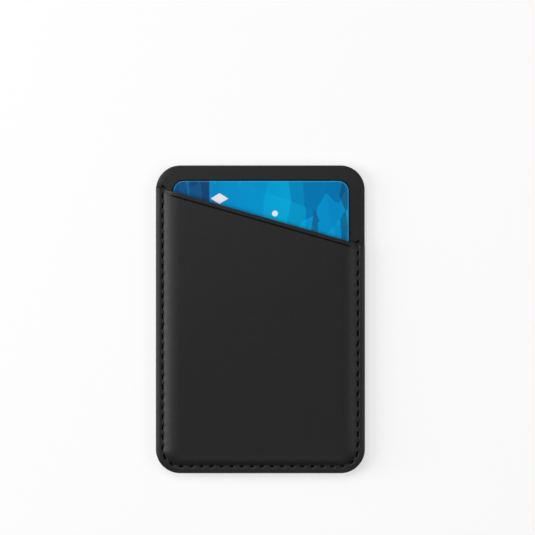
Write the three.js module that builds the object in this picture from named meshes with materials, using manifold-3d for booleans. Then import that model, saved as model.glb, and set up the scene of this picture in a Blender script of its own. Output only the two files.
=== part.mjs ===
// A flat leather card pocket that clings to the back of a phone with a ring of magnets.
// Millimetres. The holder lies on its rear face: x runs to the right, y towards the top of the phone and
// z out of the front. The origin is the middle of the rear face.
import * as THREE from "three";
import { mergeVertices } from "three/addons/utils/BufferGeometryUtils.js";
import Module from "manifold-3d";

// The bank card, of the standard size
const cardWidth = 53.98;
const cardHeight = 85.6;
const cardThickness = 0.76;
const cardCornerRadius = 3.18;
const cardShift = 0.2;

// Room round the card inside the seam, and the leather past it
const cardSideRoom = 3.21;
const cardFootRoom = 2.45;
const cardHeadMargin = 4.9;
const cardLift = 0.21;
const seamInset = 2.05;
const cornerRadius = 7.5;
const smallestRadius = 1;
const crownCornerRadius = 2.6;

// The mouth's slanting edge, measured down from the top edge at each side of the holder
const mouthDropLeft = 6.6;
const mouthDropRight = 24.9;
const creaseDistance = 1.5;
const creaseWidth = 0.4;
const creaseDepth = 0.3;
const mouthBevel = 0.22;

// Layers, from the phone outwards
const rearCoverThickness = 0.8;
const magnetThickness = 0.8;
const yokeThickness = 0.3;
const shieldThickness = 0.3;
const backPanelThickness = 0.9;
const liningThickness = 0.25;
const frontPanelThickness = 1.05;
const glueLine = 0.03;

// Edges of the leather pieces
const edgeRounding = 0.4;
const rearRimWidth = 0.7;
const partGap = 0.3;

// The pressed border, the stitch channel and the crown that rises from it
const beadInset = 1.05;
const beadDrop = 0.5;
const beadSteps = 3;
const channelDepth = 0.25;
const channelHalfWidth = 0.5;
const crownSideWidth = 5;
const crownFootWidth = 3.6;
const crownSteps = 6;
const liningStart = 0.16;
const liningMouthSetback = 0.6;

// The lockstitch seam
const stitchPitch = 3.1;
const needleThreadRadius = 0.17;
const bobbinThreadRadius = 0.13;
const threadGap = 0.03;
const holeLegOffset = 0.5;
const holeClearance = 0.1;
const endHoleRise = 0.5;
const bobbinEndTrim = 0.45;
const threadSides = 5;
const bobbinSides = 4;

// The magnets: a ring of segments and one bar below it that keeps the holder upright
const ringOuterDiameter = 55;
const ringBand = 4.5;
const ringTopMargin = 4;
const magnetCount = 16;
const magnetGap = 0.3;
const barWidth = 6;
const barLength = 20;
const barToRing = 3.5;
const shieldInset = 3.25;

// Steps of the round stretches
const cornerSteps = 6;
const ringSteps = 48;
const magnetArcSteps = 3;

// Sizes that follow from the ones above
const holderWidth = cardWidth + 2 * (cardSideRoom + seamInset);
const holderHeight = cardHeight + cardHeadMargin + cardFootRoom + seamInset;
const left = -holderWidth / 2;
const right = holderWidth / 2;
const foot = -holderHeight / 2;
const head = holderHeight / 2;
const coreBottom = rearCoverThickness;
const yokeBottom = coreBottom + magnetThickness;
const shieldBottom = yokeBottom + yokeThickness;
const backPanelBottom = shieldBottom + shieldThickness;
const pocketFloor = backPanelBottom + backPanelThickness;
const crownRise = cardThickness + cardLift + liningThickness + glueLine;
const beadTop = pocketFloor + frontPanelThickness;
const channelFloor = beadTop - channelDepth;
const plateauUnderside = pocketFloor + crownRise;
const plateauTop = plateauUnderside + frontPanelThickness;
const roundingMiddle = edgeRounding * (1 - Math.SQRT1_2);
const channelOuter = seamInset - channelHalfWidth;
const channelInner = seamInset + channelHalfWidth;
const mouthSlope = (mouthDropLeft - mouthDropRight) / holderWidth;
const mouthTilt = Math.atan(mouthSlope);
const ringOuter = ringOuterDiameter / 2;
const ringInner = ringOuter - ringBand;
const ringCentreY = head - ringTopMargin - ringOuter;
const barCentreY = ringCentreY - ringOuter - barToRing - barLength / 2;
const threadSpacing = needleThreadRadius + bobbinThreadRadius + threadGap;
const threadTop = channelFloor + threadGap + needleThreadRadius;
const bobbinHeight = backPanelBottom - threadGap - bobbinThreadRadius;
const lockHeight = bobbinHeight - threadSpacing;
// The two legs in a hole stand on one diagonal and the bobbin thread passes on the other, so this offset
// leaves exactly one thread spacing between a leg and the bobbin thread.
const legSide = (holeLegOffset * threadSpacing)
  / Math.sqrt(4 * holeLegOffset ** 2 - threadSpacing ** 2);
const grooveFloor = lockHeight - needleThreadRadius - holeClearance;
const grooveHalfWidth = legSide + needleThreadRadius + holeClearance + partGap / 2;

const wasm = await Module();
wasm.setup();

function mouthY(x) {
  return head - mouthDropLeft + mouthSlope * (x - left);
}

function geometryOf(positions, indices) {
  const geometry = new THREE.BufferGeometry();
  geometry.setAttribute("position", new THREE.Float32BufferAttribute(positions, 3));
  geometry.setIndex(indices);
  geometry.computeVertexNormals();
  return geometry;
}

function solidOf(geometry) {
  const bare = geometry.clone();
  bare.deleteAttribute("normal");
  bare.deleteAttribute("uv");
  const merged = mergeVertices(bare, 1e-4);
  return new wasm.Manifold(new wasm.Mesh({
    numProp: 3,
    vertProperties: merged.attributes.position.array,
    triVerts: new Uint32Array(merged.index.array),
  }));
}

// A geometry with every cutter taken out of it.
function cut(geometry, cutters) {
  let solid = solidOf(geometry);
  for (const cutter of cutters) solid = solid.subtract(solidOf(cutter));
  const mesh = solid.getMesh();
  return geometryOf(Array.from(mesh.vertProperties), Array.from(mesh.triVerts));
}

// Adds the two triangles of a four-sided face, its corners given counter-clockwise from outside.
function addQuad(indices, a, b, c, d) {
  indices.push(a, b, c, a, c, d);
}

// One corner's round, as points from the start angle through a quarter turn.
function cornerPoints(centreX, centreY, radius, startAngle) {
  const points = [];
  for (let step = 0; step <= cornerSteps; step++) {
    const angle = startAngle + (step / cornerSteps) * (Math.PI / 2);
    points.push([centreX + radius * Math.cos(angle), centreY + radius * Math.sin(angle)]);
  }
  return points;
}

// The whole outline of the holder, moved in by an inset, counter-clockwise from the lower left corner.
function fullRing(inset) {
  const radius = Math.max(cornerRadius - inset, smallestRadius);
  const x = right - inset - radius;
  const y = head - inset - radius;
  return [
    ...cornerPoints(-x, -y, radius, Math.PI),
    ...cornerPoints(x, -y, radius, 1.5 * Math.PI),
    ...cornerPoints(x, y, radius, 0),
    ...cornerPoints(-x, y, radius, 0.5 * Math.PI),
  ];
}

// A closed body made of whole outlines, each given as [inset, height]: the first is its lower face, and
// the last closes it on top or at the bottom of a recess.
function stackedPlate(profile) {
  const positions = [];
  const indices = [];
  const count = fullRing(0).length;
  for (const [inset, z] of profile) {
    for (const [x, y] of fullRing(inset)) positions.push(x, y, z);
  }
  for (let ring = 0; ring < profile.length - 1; ring++) {
    for (let i = 0; i < count; i++) {
      const next = (i + 1) % count;
      const low = ring * count;
      const high = low + count;
      addQuad(indices, low + i, low + next, high + next, high + i);
    }
  }
  const last = (profile.length - 1) * count;
  for (let i = 1; i < count - 1; i++) {
    indices.push(0, i + 1, i);
    indices.push(last, last + i, last + i + 1);
  }
  return geometryOf(positions, indices);
}

// The front panel's outline, moved in from its sides and foot: down the left side, along the foot and up
// the right side, with both ends on the mouth's edge or set back from it.
function openRing(sideInset, footInset, setback) {
  const halfWidth = right - sideInset;
  const radius = Math.max(cornerRadius - footInset, crownCornerRadius);
  const low = foot + footInset + radius;
  return [
    [-halfWidth, mouthY(-halfWidth) - setback],
    ...cornerPoints(radius - halfWidth, low, radius, Math.PI),
    ...cornerPoints(halfWidth - radius, low, radius, 1.5 * Math.PI),
    [halfWidth, mouthY(halfWidth) - setback],
  ];
}

// A closed sheet between two surfaces made of open rings. Each station is { side, foot, top, under }:
// two insets and the heights of the two surfaces there.
function crownedSheet(stations, setback) {
  const positions = [];
  const indices = [];
  const count = openRing(0, 0, 0).length;
  const last = stations.length - 1;
  for (const surface of ["under", "top"]) {
    for (const station of stations) {
      const ring = openRing(station.side, station.foot, setback);
      for (const [x, y] of ring) positions.push(x, y, station[surface]);
    }
  }
  const under = (station, i) => station * count + i;
  const top = (station, i) => (stations.length + station) * count + i;
  const end = count - 1;
  for (let i = 0; i < end; i++) {
    addQuad(indices, under(0, i), under(0, i + 1), top(0, i + 1), top(0, i));
    for (let k = 0; k < last; k++) {
      addQuad(indices, top(k, i), top(k, i + 1), top(k + 1, i + 1), top(k + 1, i));
      addQuad(indices, under(k + 1, i), under(k + 1, i + 1), under(k, i + 1), under(k, i));
    }
  }
  for (let i = 1; i < end; i++) {
    indices.push(top(last, 0), top(last, i), top(last, i + 1));
    indices.push(under(last, 0), under(last, i + 1), under(last, i));
  }
  // The edge at the mouth: up the left slope, across the middle and down the right slope
  for (let k = 0; k < last; k++) {
    addQuad(indices, top(k, 0), top(k + 1, 0), under(k + 1, 0), under(k, 0));
    addQuad(indices, top(k + 1, end), top(k, end), under(k, end), under(k + 1, end));
  }
  addQuad(indices, top(last, 0), top(last, end), under(last, end), under(last, 0));
  return geometryOf(positions, indices);
}

// How far the crown has risen at a share of its width. The underside rises faster, because the leather
// is pared thin along the seam so that the card's edges clear it.
function topRise(share) {
  return 1 - (1 - share) ** 2;
}

function undersideRise(share) {
  return 1 - (1 - share) ** 3;
}

function crownStations(firstShare, underAt, topAt) {
  const stations = [];
  for (let step = 0; step <= crownSteps; step++) {
    const share = firstShare + (1 - firstShare) * (step / crownSteps);
    stations.push({
      side: channelInner + share * crownSideWidth,
      foot: channelInner + share * crownFootWidth,
      top: topAt(share),
      under: underAt(share),
    });
  }
  return stations;
}

// A long three-sided cutter along the mouth, its point downwards, a distance below the mouth's edge.
function mouthCutter(distance, halfWidth, depth, surface) {
  const profile = new THREE.Shape([
    new THREE.Vector2(-halfWidth, 0),
    new THREE.Vector2(0, -depth),
    new THREE.Vector2(halfWidth, 0),
    new THREE.Vector2(halfWidth, depth),
    new THREE.Vector2(-halfWidth, depth),
  ]);
  const length = 1.5 * holderWidth;
  const cutter = new THREE.ExtrudeGeometry(profile, { depth: length, bevelEnabled: false });
  cutter.translate(0, 0, -length / 2);
  cutter.rotateX(Math.PI / 2);
  cutter.rotateZ(Math.PI / 2 + mouthTilt);
  return cutter.translate(
    distance * Math.sin(mouthTilt),
    mouthY(0) - distance * Math.cos(mouthTilt),
    surface,
  );
}

// The seam's centre line, from above the mouth's left end round the foot to above its right end
const seamX = right - seamInset;
const seamRadius = cornerRadius - seamInset;
const seamCornerY = foot + seamInset + seamRadius;
const seamStartY = mouthY(-seamX) + endHoleRise;
const seamEndY = mouthY(seamX) + endHoleRise;

const seam = new THREE.Path();
seam.moveTo(-seamX, seamStartY);
seam.lineTo(-seamX, seamCornerY);
seam.absarc(seamRadius - seamX, seamCornerY, seamRadius, Math.PI, 1.5 * Math.PI, false);
seam.lineTo(seamX - seamRadius, seamCornerY - seamRadius);
seam.absarc(seamX - seamRadius, seamCornerY, seamRadius, 1.5 * Math.PI, 2 * Math.PI, false);
seam.lineTo(seamX, seamEndY);

const seamLength = seam.getLength();
const stitchCount = Math.round(seamLength / stitchPitch);

// A point beside the seam: a distance along it, an offset towards the card and a height.
function seamPoint(distance, inward, z) {
  const share = Math.min(Math.max(distance / seamLength, 0), 1);
  const point = seam.getPoint(share);
  const tangent = seam.getTangent(share);
  return new THREE.Vector3(point.x - inward * tangent.y, point.y + inward * tangent.x, z);
}

function holeDistance(index) {
  return (index / stitchCount) * seamLength;
}

// A run of thread through its stations, sampled exactly at them.
class ThreadRun extends THREE.Curve {
  constructor(stations) {
    super();
    this.stations = stations;
    this.steps = stations.length - 1;
  }

  getPoint(t, target = new THREE.Vector3()) {
    const place = t * this.steps;
    const index = Math.min(Math.floor(place), this.steps - 1);
    return target.lerpVectors(this.stations[index], this.stations[index + 1], place - index);
  }

  // Halfway between the directions of the two pieces that meet at a station.
  getTangent(t, target = new THREE.Vector3()) {
    const index = Math.round(t * this.steps);
    const here = this.stations[index];
    const before = this.stations[Math.max(index - 1, 0)];
    const after = this.stations[Math.min(index + 1, this.steps)];
    const arriving = here.clone().sub(before).normalize();
    const leaving = after.clone().sub(here).normalize();
    return target.addVectors(arriving, leaving).normalize();
  }

  getUtoTmapping(u) {
    return u;
  }
}

function threadGeometry(stations, radius, sides) {
  const section = new THREE.Shape();
  for (let side = 0; side < sides; side++) {
    const angle = (side / sides) * 2 * Math.PI;
    const point = new THREE.Vector2(radius * Math.cos(angle), radius * Math.sin(angle));
    if (side === 0) section.moveTo(point.x, point.y);
    else section.lineTo(point.x, point.y);
  }
  section.closePath();
  const run = new ThreadRun(stations);
  return new THREE.ExtrudeGeometry(section, { steps: run.steps, extrudePath: run, bevelEnabled: false });
}

// The needle thread dives into each hole, passes under the bobbin thread and comes up again in the same
// hole. Its two ends go down through the back panel alone, just above the mouth's edge.
function needleStations() {
  const stations = [seamPoint(0, 0, lockHeight), seamPoint(0, 0, threadTop)];
  for (let hole = 1; hole < stitchCount; hole++) {
    const enter = holeDistance(hole) - holeLegOffset;
    const leave = holeDistance(hole) + holeLegOffset;
    stations.push(seamPoint(enter, legSide, threadTop));
    stations.push(seamPoint(enter, legSide, lockHeight));
    stations.push(seamPoint(leave, -legSide, lockHeight));
    stations.push(seamPoint(leave, -legSide, threadTop));
  }
  stations.push(seamPoint(seamLength, 0, threadTop), seamPoint(seamLength, 0, lockHeight));
  return stations;
}

// The bobbin thread crosses over each loop of the needle thread, just under the back panel.
function bobbinStations() {
  const stations = [seamPoint(bobbinEndTrim, 0, bobbinHeight)];
  for (let hole = 1; hole < stitchCount; hole++) {
    const distance = holeDistance(hole);
    stations.push(seamPoint(distance - holeLegOffset, -legSide, bobbinHeight));
    stations.push(seamPoint(distance + holeLegOffset, legSide, bobbinHeight));
  }
  stations.push(seamPoint(seamLength - bobbinEndTrim, 0, bobbinHeight));
  return stations;
}

// The slit that the needle leaves at each stitch: it takes both legs of the loop, on their slant.
function needleSlits() {
  const slant = -Math.atan2(legSide, holeLegOffset);
  const legReach = needleThreadRadius + holeClearance;
  const length = 2 * (Math.hypot(holeLegOffset, legSide) + legReach);
  const bottom = backPanelBottom - partGap;
  const height = beadTop + partGap - bottom;
  const slits = [];
  for (let hole = 0; hole <= stitchCount; hole++) {
    const isEnd = hole === 0 || hole === stitchCount;
    const tangent = seam.getTangent(hole / stitchCount);
    const centre = seamPoint(holeDistance(hole), 0, bottom + height / 2);
    const slit = new THREE.BoxGeometry(isEnd ? 2 * legReach : length, 2 * legReach, height);
    slit.rotateZ(Math.atan2(tangent.y, tangent.x) + (isEnd ? 0 : slant));
    slits.push(slit.translate(centre.x, centre.y, centre.z));
  }
  return slits;
}

// A band on both sides of the seam, open at the mouth, extruded upwards from a height.
function seamBand(halfWidth, endExtra, bottom, height) {
  const outer = seamRadius + halfWidth;
  const inner = Math.max(seamRadius - halfWidth, smallestRadius / 2);
  const outerX = seamX + halfWidth;
  const innerX = seamX - halfWidth;
  const outerFoot = seamCornerY - seamRadius - halfWidth;
  const innerFoot = seamCornerY - seamRadius + halfWidth;
  const band = new THREE.Shape();
  band.moveTo(-outerX, seamStartY + endExtra);
  band.lineTo(-outerX, outerFoot + outer);
  band.absarc(outer - outerX, outerFoot + outer, outer, Math.PI, 1.5 * Math.PI, false);
  band.absarc(outerX - outer, outerFoot + outer, outer, 1.5 * Math.PI, 2 * Math.PI, false);
  band.lineTo(outerX, seamEndY + endExtra);
  band.lineTo(innerX, seamEndY + endExtra);
  band.absarc(innerX - inner, innerFoot + inner, inner, 0, -0.5 * Math.PI, true);
  band.absarc(inner - innerX, innerFoot + inner, inner, 1.5 * Math.PI, Math.PI, true);
  band.lineTo(-innerX, seamStartY + endExtra);
  band.closePath();
  const settings = { depth: height, bevelEnabled: false, curveSegments: cornerSteps };
  return new THREE.ExtrudeGeometry(band, settings).translate(0, 0, bottom);
}

function disc(radius, bottom, top) {
  const geometry = new THREE.CylinderGeometry(radius, radius, top - bottom, ringSteps);
  geometry.rotateX(Math.PI / 2);
  return geometry.translate(0, ringCentreY, (bottom + top) / 2);
}

function bar(margin, bottom, top) {
  const geometry = new THREE.BoxGeometry(barWidth + 2 * margin, barLength + 2 * margin, top - bottom);
  return geometry.translate(0, barCentreY, (bottom + top) / 2);
}

// The phone side: a flat face with a raised rim that closes the core in.
function rearCover() {
  return stackedPlate([
    [edgeRounding, 0],
    [roundingMiddle, roundingMiddle],
    [0, edgeRounding],
    [0, backPanelBottom],
    [rearRimWidth, backPanelBottom],
    [rearRimWidth, coreBottom],
  ]);
}

// The stiff frame between the leather layers, with windows for the magnets, a seat for the shield plate
// and a groove that takes the underside of the seam.
function coreFrame() {
  const inset = rearRimWidth + partGap;
  const aboveCore = backPanelBottom + partGap;
  const belowCore = coreBottom - partGap;
  return cut(stackedPlate([[inset, coreBottom], [inset, backPanelBottom]]), [
    stackedPlate([[shieldInset - partGap, shieldBottom], [shieldInset - partGap, aboveCore]]),
    disc(ringOuter + partGap, belowCore, aboveCore),
    bar(partGap, belowCore, aboveCore),
    seamBand(grooveHalfWidth, endHoleRise, grooveFloor, aboveCore - grooveFloor),
  ]);
}

function coreDisc() {
  return disc(ringInner - partGap, coreBottom, shieldBottom);
}

function ringMagnet() {
  const halfGap = magnetGap / 2;
  const halfTurn = Math.PI / magnetCount;
  const outerAngle = halfTurn - halfGap / ringOuter;
  const innerAngle = halfTurn - halfGap / ringInner;
  const segment = new THREE.Shape();
  segment.absarc(0, 0, ringOuter, -outerAngle, outerAngle, false);
  segment.absarc(0, 0, ringInner, innerAngle, -innerAngle, true);
  segment.closePath();
  const settings = { depth: magnetThickness, bevelEnabled: false, curveSegments: magnetArcSteps };
  return new THREE.ExtrudeGeometry(segment, settings);
}

function ringYoke() {
  const ring = new THREE.Shape();
  ring.absarc(0, 0, ringOuter, 0, 2 * Math.PI, false);
  const opening = new THREE.Path();
  opening.absarc(0, 0, ringInner, 0, 2 * Math.PI, true);
  ring.holes.push(opening);
  const settings = { depth: yokeThickness, bevelEnabled: false, curveSegments: ringSteps };
  return new THREE.ExtrudeGeometry(ring, settings).translate(0, ringCentreY, yokeBottom);
}

function shieldPlate() {
  return stackedPlate([[shieldInset, shieldBottom], [shieldInset, backPanelBottom]]);
}

function backPanel() {
  const panel = stackedPlate([
    [0, backPanelBottom],
    [0, pocketFloor - edgeRounding],
    [roundingMiddle, pocketFloor - roundingMiddle],
    [edgeRounding, pocketFloor],
  ]);
  return cut(panel, needleSlits());
}

// The border's bead: a quarter of an ellipse from the outer wall up to its top, then down to the channel.
function borderStations() {
  const borderStation = (inset, top) => ({ side: inset, foot: inset, top, under: pocketFloor });
  const stations = [];
  for (let step = 0; step <= beadSteps; step++) {
    const angle = (step / beadSteps) * (Math.PI / 2);
    const height = beadTop - beadDrop * (1 - Math.sin(angle));
    stations.push(borderStation(beadInset * (1 - Math.cos(angle)), height));
  }
  stations.push(borderStation(channelOuter, channelFloor));
  return stations;
}

function frontPanel() {
  const crown = crownStations(
    0,
    (share) => pocketFloor + crownRise * undersideRise(share),
    (share) => channelFloor + (plateauTop - channelFloor) * topRise(share),
  );
  const panel = crownedSheet([...borderStations(), ...crown], 0);
  return cut(panel, [
    ...needleSlits(),
    mouthCutter(creaseDistance, creaseWidth / 2, creaseDepth, plateauTop),
    mouthCutter(0, mouthBevel, mouthBevel, plateauTop),
  ]);
}

// The thin cloth glued under the front panel, which stops short of the seam and of the mouth.
function pocketLining() {
  const topAt = (share) => pocketFloor + crownRise * undersideRise(share) - glueLine;
  const lining = crownStations(liningStart, (share) => topAt(share) - liningThickness, topAt);
  return crownedSheet(lining, liningMouthSetback);
}

function card() {
  const x = cardWidth / 2 - cardCornerRadius;
  const y = cardHeight / 2 - cardCornerRadius;
  const outline = new THREE.Shape();
  outline.absarc(-x, -y, cardCornerRadius, Math.PI, 1.5 * Math.PI, false);
  outline.absarc(x, -y, cardCornerRadius, 1.5 * Math.PI, 2 * Math.PI, false);
  outline.absarc(x, y, cardCornerRadius, 0, 0.5 * Math.PI, false);
  outline.absarc(-x, y, cardCornerRadius, 0.5 * Math.PI, Math.PI, false);
  outline.closePath();
  const settings = { depth: cardThickness, bevelEnabled: false, curveSegments: cornerSteps };
  const cardCentreY = foot + seamInset + cardFootRoom + cardHeight / 2;
  return new THREE.ExtrudeGeometry(outline, settings).translate(cardShift, cardCentreY, pocketFloor);
}

const leather = { color: 0x2b2b2b, roughness: 0.62, metalness: 0 };
const microfibre = { color: 0x303030, roughness: 0.95, metalness: 0 };
const board = { color: 0x1c1c1e, roughness: 0.7, metalness: 0 };
const magnetFinish = { color: 0xb9bcc0, roughness: 0.3, metalness: 1 };
const steelFinish = { color: 0x9a9da1, roughness: 0.4, metalness: 1 };
const thread = { color: 0x232323, roughness: 0.55, metalness: 0 };
const print = { color: 0x0f86c4, roughness: 0.3, metalness: 0 };

const holder = new THREE.Group();
holder.name = "magnetic_card_holder";

function addPiece(name, geometry, finish, parent = holder) {
  const mesh = new THREE.Mesh(geometry, new THREE.MeshStandardMaterial(finish));
  mesh.name = name;
  parent.add(mesh);
  return mesh;
}

addPiece("rear_cover", rearCover(), microfibre);
addPiece("core_frame", coreFrame(), board);
addPiece("core_disc", coreDisc(), board);
addPiece("ring_yoke", ringYoke(), steelFinish);
addPiece("bar_magnet", bar(0, coreBottom, yokeBottom), magnetFinish);
addPiece("bar_yoke", bar(0, yokeBottom, shieldBottom), steelFinish);
addPiece("shield_plate", shieldPlate(), steelFinish);
addPiece("back_panel", backPanel(), leather);
addPiece("card", card(), print);
addPiece("pocket_lining", pocketLining(), microfibre);
addPiece("front_panel", frontPanel(), leather);
addPiece("bobbin_thread", threadGeometry(bobbinStations(), bobbinThreadRadius, bobbinSides), thread);
addPiece("needle_thread", threadGeometry(needleStations(), needleThreadRadius, threadSides), thread);

const magnetRing = new THREE.Group();
magnetRing.position.set(0, ringCentreY, coreBottom);
holder.add(magnetRing);
for (let index = 0; index < magnetCount; index++) {
  const number = String(index + 1).padStart(2, "0");
  const magnet = addPiece(`ring_magnet_${number}`, ringMagnet(), magnetFinish, magnetRing);
  magnet.rotation.z = ((index + 0.5) / magnetCount) * 2 * Math.PI;
}

export default holder;
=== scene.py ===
import math

import bpy
import numpy as np
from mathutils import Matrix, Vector
from mathutils.geometry import delaunay_2d_cdt


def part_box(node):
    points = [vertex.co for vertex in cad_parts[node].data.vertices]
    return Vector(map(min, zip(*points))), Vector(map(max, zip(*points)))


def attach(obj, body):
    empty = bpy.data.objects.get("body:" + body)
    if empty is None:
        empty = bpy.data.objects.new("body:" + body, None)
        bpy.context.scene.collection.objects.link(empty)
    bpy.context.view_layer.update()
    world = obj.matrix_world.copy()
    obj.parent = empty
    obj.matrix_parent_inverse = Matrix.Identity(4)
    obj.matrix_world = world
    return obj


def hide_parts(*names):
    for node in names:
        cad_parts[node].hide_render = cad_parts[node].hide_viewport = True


bl_info = {
    "name": "Stitched Card Holder",
    "version": (1, 0, 0),
    "blender": (4, 5, 0),
    "location": "View3D > Sidebar > Card Holder",
    "description": "Dresses a flat leather card pocket with its seam, its card and its studio",
    "category": "Add Mesh",
}

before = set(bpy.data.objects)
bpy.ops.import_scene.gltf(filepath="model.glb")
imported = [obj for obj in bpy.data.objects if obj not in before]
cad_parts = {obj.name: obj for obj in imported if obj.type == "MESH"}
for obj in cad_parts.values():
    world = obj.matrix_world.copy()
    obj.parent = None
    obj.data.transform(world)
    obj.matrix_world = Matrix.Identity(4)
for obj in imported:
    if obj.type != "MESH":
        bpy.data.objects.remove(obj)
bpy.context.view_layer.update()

MM = 0.001
CARD_CORNER = 3.18
QUARTER_TURN = 0.5 * math.pi
BODY = "root"


# Values that a user would change
def length(name, description, default_mm):
    """A length in the sidebar, in metres."""
    return bpy.props.FloatProperty(
        name=name, description=description, default=default_mm * MM,
        subtype="DISTANCE", unit="LENGTH", precision=5,
    )


def power(name, description, default):
    """The power of a light in the sidebar."""
    return bpy.props.FloatProperty(name=name, description=description, default=default, unit="POWER")


def colour(name, description, default):
    """A linear colour in the sidebar."""
    return bpy.props.FloatVectorProperty(
        name=name, description=description, default=default, size=3, subtype="COLOR", min=0, max=1
    )


class HolderSizes(bpy.types.PropertyGroup):
    """Lengths of the holder's leather and seam."""
    corner_radius: length("Corner radius", "Radius of the holder's outline at its corners", 7.5)
    seam_inset: length("Seam inset", "From the outline to the middle of the seam", 2.15)
    mouth_drop_left: length("Mouth drop, left", "From the top edge down to the mouth, left side", 6.6)
    mouth_drop_right: length("Mouth drop, right", "From the top edge down to the mouth, right side", 24.9)
    seam_rise_left: length("Seam rise, left", "How far the seam's left end stands above the mouth", 0.85)
    seam_rise_right: length("Seam rise, right", "How far the seam's right end stands above the mouth", 0.3)
    end_hole_rise: length("End hole rise", "From the mouth up to the middle of the two end holes", 0.4)
    crease_distance: length("Crease distance", "From the mouth's edge down to the crease", 1.42)
    crease_depth: length("Crease depth", "Depth of the crease", 0.36)
    crease_width: length("Crease width", "Half the width of the crease", 0.19)
    bead_inset: length("Bead inset", "From the outline to the top of the border's bead", 1.34)
    bead_drop: length("Bead drop", "From the bead's top down to its outer wall", 0.57)
    channel_depth: length("Channel depth", "Depth of the stitch channel below the bead", 0.03)
    channel_width: length("Channel width", "Half the width of the stitch channel", 0.42)
    crown_side: length("Crown width, sides", "How far the crown's slope reaches in from the channel", 5.0)
    crown_foot: length("Crown width, foot", "How far the crown's slope reaches up from the channel", 3.6)
    crown_corner: length("Crown corner", "Smallest corner radius of the crown", 2.6)
    edge_round: length("Edge rounding", "Rounding of the leather's cut edges", 0.4)
    pitch: length("Stitch pitch", "Distance from one needle hole to the next", 3.1)
    leg_offset: length("Leg offset", "Half the distance between the two legs in a hole, along the seam", 0.5)
    leg_side: length("Leg side", "Half the distance between the two legs in a hole, across the seam", 0.18)
    ply_radius: length("Ply radius", "Radius of one ply of the thread", 0.112)


class HolderColours(bpy.types.PropertyGroup):
    """Colours of the holder, its card and the floor."""
    leather: colour("Leather", "Black leather of both panels", (0.0058, 0.0058, 0.006))
    # Lighter leather for the edges: partly rubbed wear, partly a painted highlight along them.
    leather_worn_highlight: colour("Leather, rubbed", "Leather where edges have been handled", (0.014, 0.014, 0.0142))
    thread: colour("Thread", "Waxed black thread", (0.017, 0.017, 0.0172))
    rear_nap: colour("Rear nap", "Charcoal microfibre on the rear", (0.026, 0.026, 0.027))
    print_cyan: colour("Print, cyan", "Lightest colour of the card's print", (0.0, 0.4, 0.71))
    print_blue: colour("Print, blue", "Middle colour of the card's print", (0.0, 0.23, 0.56))
    print_deep: colour("Print, deep blue", "Darker colour of the card's print", (0.0, 0.108, 0.32))
    print_navy: colour("Print, navy", "Darkest colour of the card's print", (0.008, 0.04, 0.13))
    floor: colour("Floor", "Pale studio floor", (0.86, 0.86, 0.86))


class StudioSettings(bpy.types.PropertyGroup):
    """Camera and lights."""
    view_x: length("View, x", "Point under the camera, to the right", 2.2)
    view_y: length("View, y", "Point under the camera, towards the mouth", 15.95)
    view_width: length("View width", "Width that the picture covers at the holder's front", 164.8)
    view_distance: length("Camera height", "Height of the camera over the holder's front", 480.0)
    key_power: power("Key light", "Power of the large soft light on the left", 15.0)
    top_power: power("Overhead light", "Power of the large soft light overhead", 10.0)
    fill_power: power("Fill light", "Power of the weak light on the right", 3.9)
    head_power: power("Head light", "Power of the light beyond the mouth", 0.6)
    foot_power: power("Foot light", "Power of the light over the foot", 2.4)
    sky: bpy.props.FloatProperty(
        name="Surroundings", description="Level of the even light from all round", default=0.06, min=0
    )


# Shape of the holder, worked out in millimetres
def smooth_step(low, high, value):
    """0 below low, 1 above high and a soft turn between, for arrays too."""
    share = np.clip((value - low) / (high - low), 0.0, 1.0)
    return share * share * (3.0 - 2.0 * share)


def bell(distance, width):
    """1 at no distance, falling away softly over a width."""
    return np.exp(-((distance / width) ** 2))


def node_box(name):
    """The middle and half size of a node's box, in millimetres."""
    low, high = (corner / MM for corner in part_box(name))
    return (low + high) / 2, (high - low) / 2


def rounded_edge(radius):
    """Two distances, one shrinking and one growing, for points round a quarter of a circle."""
    turns = np.linspace(0, QUARTER_TURN, 7)
    return [(radius * (1 - math.sin(turn)), radius * (1 - math.cos(turn))) for turn in turns]


def rounded_outline(half_x, half_y, radius, corner_steps, side_steps):
    """A rounded rectangle round the origin, counter-clockwise. side_steps counts along x and y."""
    xs, ys = [], []
    sides = (((1, 1), (-1, 0)), ((-1, 1), (0, -1)), ((-1, -1), (1, 0)), ((1, -1), (0, 1)))
    for index, ((side_x, side_y), (run_x, run_y)) in enumerate(sides):
        angle = np.linspace(0, QUARTER_TURN, corner_steps + 1) + QUARTER_TURN * index
        xs.append(side_x * (half_x - radius) + radius * np.cos(angle))
        ys.append(side_y * (half_y - radius) + radius * np.sin(angle))
        straight = 2 * ((half_x, half_y)[index % 2] - radius)
        along = straight * np.linspace(0, 1, side_steps[index % 2] + 1)[1:-1]
        xs.append(xs[-1][-1] + run_x * along)
        ys.append(ys[-1][-1] + run_y * along)
    return np.concatenate(xs), np.concatenate(ys)


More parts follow.
